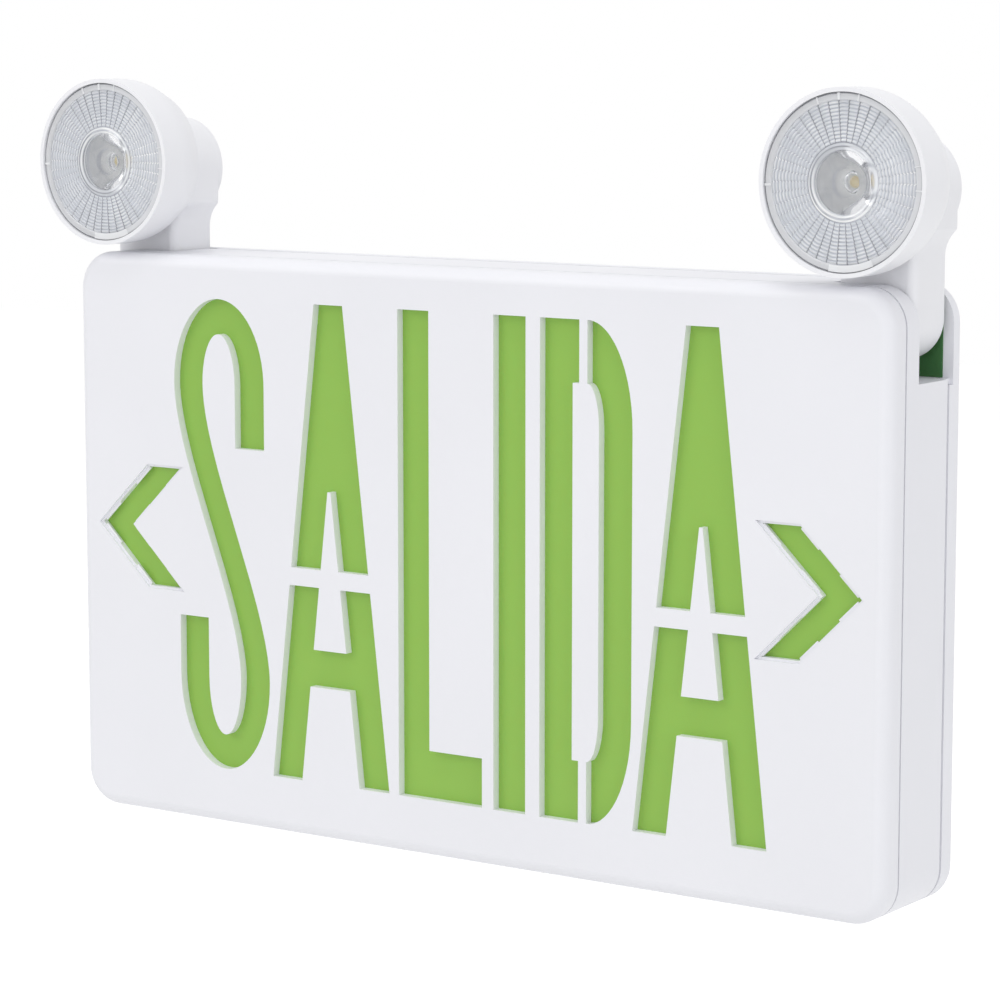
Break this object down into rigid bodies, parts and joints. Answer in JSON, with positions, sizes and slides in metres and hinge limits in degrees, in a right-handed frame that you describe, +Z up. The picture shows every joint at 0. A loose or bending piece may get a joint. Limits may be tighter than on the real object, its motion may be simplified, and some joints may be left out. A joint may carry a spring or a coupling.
{
  "type": "emergency exit light",
  "caption": "Lit exit sign with cut-out word and arrows over a green panel, and two round lamp heads on arms that swing out from its top corners.",
  "frame": {"origin": "centre of the back face that lies on the wall", "axes": "+Z up, +X right as seen from the front, sign faces -Y, wall on the +Y side"},
  "size_m": [0.326, 0.046, 0.2401],
  "materials": {
    "casing_white": "fine satin, moulded",
    "arm_white": "fine satin, moulded",
    "green_sheet": "translucent satin",
    "tray_white": "gloss white",
    "board_green": "solder mask",
    "board_white": "white solder mask",
    "light_chip": "phosphor",
    "black_plastic": "moulded",
    "terminal_green": "moulded",
    "transformer_steel": "varnished",
    "can_metal": "sleeved",
    "cell_sleeve": "shrink sleeve",
    "steel": "zinc plated",
    "spring_steel": "bright",
    "pivot_nylon": "natural nylon",
    "washer_rubber": "plain",
    "sink_metal": "plain",
    "lens_clear": "clear, ribbed",
    "optic_clear": "clear",
    "button_red": "moulded",
    "light_rod": "clear tinted"
  },
  "bodies": {
    "casing": {"front_cover": "casing_white", "diffuser": "green_sheet", "light_tray": "tray_white", "sign_light_boards": "board_white", "sign_lights": "light_chip", "housing": "casing_white", "back_cover": "casing_white", "casing_screws": "steel", "board_screws": "steel", "entry_bushing": "washer_rubber", "control_board": "board_green", "transformer": "transformer_steel", "relay": "black_plastic", "capacitors": "can_metal", "terminal_block": "terminal_green", "battery_cells": "cell_sleeve", "battery_clip": "steel", "test_button_spring": "spring_steel", "test_switch": "black_plastic", "test_board": "board_green", "charge_light": "light_rod", "charge_lamp": "terminal_green", "arm_washer_left": "washer_rubber", "arm_washer_right": "washer_rubber"},
    "test_button": {"test_button": "button_red"},
    "arm_left": {"arm_shell_left": "arm_white", "arm_cover_left": "arm_white", "arm_pivot_left": "pivot_nylon", "arm_nut_left": "steel"},
    "arm_right": {"arm_shell_right": "arm_white", "arm_cover_right": "arm_white", "arm_pivot_right": "pivot_nylon", "arm_nut_right": "steel"},
    "yoke_left": {"lamp_yoke_left": "pivot_nylon", "tilt_pin_left": "steel"},
    "yoke_right": {"lamp_yoke_right": "pivot_nylon", "tilt_pin_right": "steel"},
    "head_left": {"lamp_cup_left": "arm_white", "lamp_stem_left": "arm_white", "lamp_lens_left": "lens_clear", "lamp_optic_left": "optic_clear", "heat_sink_left": "sink_metal", "lamp_board_left": "board_white", "lamp_emitter_left": "light_chip"},
    "head_right": {"lamp_cup_right": "arm_white", "lamp_stem_right": "arm_white", "lamp_lens_right": "lens_clear", "lamp_optic_right": "optic_clear", "heat_sink_right": "sink_metal", "lamp_board_right": "board_white", "lamp_emitter_right": "light_chip"}
  },
  "joints": [
    {"name": "arm_swing_left", "type": "hinge", "parent": "casing", "child": "arm_left", "pos_m": [-0.1388, -0.0163, 0.0816], "axis": [0, -1, 0], "range_deg": [0, 90]},
    {"name": "arm_swing_right", "type": "hinge", "parent": "casing", "child": "arm_right", "pos_m": [0.1388, -0.0163, 0.0816], "axis": [0, 1, 0], "range_deg": [0, 90]},
    {"name": "lamp_pan_left", "type": "hinge", "parent": "arm_left", "child": "yoke_left", "pos_m": [-0.1363, -0.0152, 0.1214], "axis": [0, 0, 1], "range_deg": [-15, 15]},
    {"name": "lamp_pan_right", "type": "hinge", "parent": "arm_right", "child": "yoke_right", "pos_m": [0.1363, -0.0152, 0.1214], "axis": [0, 0, 1], "range_deg": [-15, 15]},
    {"name": "lamp_tilt_left", "type": "hinge", "parent": "yoke_left", "child": "head_left", "pos_m": [-0.1363, -0.0152, 0.1214], "axis": [-1, 0, 0], "range_deg": [0, 20]},
    {"name": "lamp_tilt_right", "type": "hinge", "parent": "yoke_right", "child": "head_right", "pos_m": [0.1363, -0.0152, 0.1214], "axis": [-1, 0, 0], "range_deg": [0, 20]},
    {"name": "test_press", "type": "slide", "parent": "casing", "child": "test_button", "axis": [0, 0, 1], "range_m": [0, 0.001], "stiffness_N_per_m": 300, "springref_m": -0.001, "deforming": ["test_button_spring"]}
  ]
}
